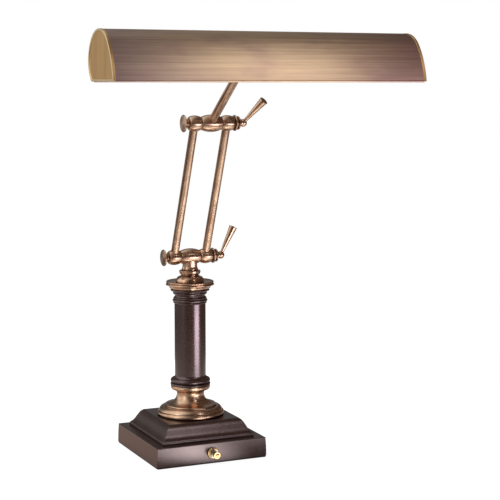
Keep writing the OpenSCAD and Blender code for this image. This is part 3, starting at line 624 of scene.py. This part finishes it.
# The backdrop, as reflections see it: the direction of its middle, and the cosines of the angles from there
# to its rim and its core
BACKDROP = Vector((-0.742, 0.520, 0.423)).normalized()
BACKDROP_RIM_CORE = (0.0, 0.85)
BACKDROP_LEVEL = 1.35
HORIZON = (-0.19, 0.12)
BELOW_HORIZON = 0.08

# A dark gap in it behind the lamp, which the base's left slopes reflect
GAP = Vector((-0.108, 0.905, 0.399)).normalized()
GAP_RIM_CORE = (0.78, 0.96)
GAP_SHARE = 0.10

DIM_ROOM = (0.110, 0.080, 0.068)
DIFFUSE_LEVEL = 0.45

FLOOR_RADIUS = 0.56
FLOOR_GAP = 0.1 * MM
FLOOR_GREY = (0.35, 0.35, 0.35, 1)
SEEN_RADII, SEEN_LEVELS = (0.20, 0.50), (0.84, 1.0)

# Pools of light on the table, as reflections see them: the inner and outer radius, and the level at each
HOT_SPOT = (0.010, -0.180, 0)
HOT_SPOT_SHAPE = (1, 0.6, 1)
HOT_SPOT_RADII, HOT_SPOT_LEVELS = (0.005, 0.075), (8.0, 0.0)
FRONT_POOL = (0.22, -0.36, 0)
FRONT_POOL_RADII, FRONT_POOL_LEVELS = (0.10, 0.24), (1.6, 0.0)
TABLE_RADII, TABLE_LEVELS = (0.22, 0.36), (0.0, 0.5)
LEFT_POOL = (-0.20, 0.10, 0)
LEFT_POOL_COLOUR = (1, 0.56, 0.38, 1)
LEFT_POOL_RADII, LEFT_POOL_LEVELS = (0.10, 0.30), (0.34, 0.05)


def seen_directly(t):
    """1 for the camera and through glass, and 0 for reflections and for light that falls on the lamp."""
    path = t.add("LightPath").outputs
    return t.math("MAXIMUM", path["Is Camera Ray"], path["Is Transmission Ray"])


def make_world():
    """White to the camera; in reflections, white at the left behind and a dim warm room elsewhere.

    Matte surfaces are lit by an even grey as well, because the dim room would leave them too dark.
    """
    world = bpy.data.worlds.new("studio")
    bpy.context.scene.world = world
    t = Nodes(world)
    direction = t.add("TexCoord").outputs["Generated"]
    up = t.add("SeparateXYZ", {0: direction}).outputs["Z"]
    towards = t.vector("DOT_PRODUCT", direction, BACKDROP, output="Value")
    to_gap = t.vector("DOT_PRODUCT", direction, GAP, output="Value")
    backdrop = t.eased(towards, *BACKDROP_RIM_CORE, 0.0, BACKDROP_LEVEL)
    backdrop = t.math("MULTIPLY", backdrop, t.eased(up, *HORIZON, BELOW_HORIZON, 1.0))
    backdrop = t.math("MULTIPLY", backdrop, t.eased(to_gap, *GAP_RIM_CORE, 1.0, GAP_SHARE))
    seen = seen_directly(t)
    not_seen = t.math("SUBTRACT", 1.0, seen)
    diffuse = t.math("MULTIPLY", t.add("LightPath").outputs["Is Diffuse Ray"], DIFFUSE_LEVEL)
    share = t.math("MULTIPLY", t.math("MAXIMUM", backdrop, diffuse), not_seen)
    share = t.math("ADD", share, seen)
    white = t.add("CombineXYZ", {0: share, 1: share, 2: share}).outputs[0]
    dim = t.add("VectorMath", {0: DIM_ROOM, "Scale": not_seen}, operation="SCALE").outputs[0]
    colour = t.vector("MAXIMUM", dim, white)
    shown = t.add("Background", {"Color": colour, "Strength": 1.0}).outputs[0]
    t.add("OutputWorld", {0: shown})


def table_white():
    """White to the camera but for the lamp's soft shadow, with pools of light in reflections."""
    material = bpy.data.materials.new("floor_white")
    t = Nodes(material)
    place = t.add("TexCoord").outputs["Object"]
    far = t.vector("LENGTH", place, output="Value")
    from_spot = t.vector("MULTIPLY", t.vector("SUBTRACT", place, HOT_SPOT), HOT_SPOT_SHAPE)
    near_spot = t.vector("LENGTH", from_spot, output="Value")
    near_front = t.vector("DISTANCE", place, FRONT_POOL, output="Value")
    near_left = t.vector("DISTANCE", place, LEFT_POOL, output="Value")
    hot_spot = t.eased(near_spot, *HOT_SPOT_RADII, *HOT_SPOT_LEVELS)
    front_pool = t.eased(near_front, *FRONT_POOL_RADII, *FRONT_POOL_LEVELS)
    pools = t.math("ADD", hot_spot, front_pool)
    pools = t.math("ADD", pools, t.eased(far, *TABLE_RADII, *TABLE_LEVELS))
    glow = t.math("MULTIPLY", seen_directly(t), t.eased(far, *SEEN_RADII, *SEEN_LEVELS))
    glossy = t.add("LightPath").outputs["Is Glossy Ray"]
    white = t.math("ADD", glow, t.math("MULTIPLY", glossy, pools))
    warm = t.math("MULTIPLY", glossy, t.eased(near_left, *LEFT_POOL_RADII, *LEFT_POOL_LEVELS))
    white_light = t.add("Emission", {"Strength": white}).outputs[0]
    warm_light = t.add("Emission", {"Color": LEFT_POOL_COLOUR, "Strength": warm}).outputs[0]
    light = t.add("AddShader", {0: white_light, 1: warm_light}).outputs[0]
    matte = t.add("BsdfDiffuse", {"Color": FLOOR_GREY}).outputs[0]
    both = t.add("AddShader", {0: light, 1: matte}).outputs[0]
    t.add("OutputMaterial", {0: both})
    return material


def make_floor():
    """A round pale table, just under the felt."""
    bm = bmesh.new()
    bmesh.ops.create_circle(bm, cap_ends=True, segments=128, radius=FLOOR_RADIUS)
    bmesh.ops.translate(bm, verts=bm.verts, vec=(0, 0, -FLOOR_GAP))
    mesh = mesh_of(bm, "floor")
    mesh.materials.append(table_white())
    floor = bpy.data.objects.new("floor", mesh)
    bpy.context.scene.collection.objects.link(floor)


make_camera()
make_world()
make_floor()
for name, settings in SOFTBOXES.items():
    make_softbox(name, *settings)

bpy.context.scene.view_settings.view_transform = "Standard"
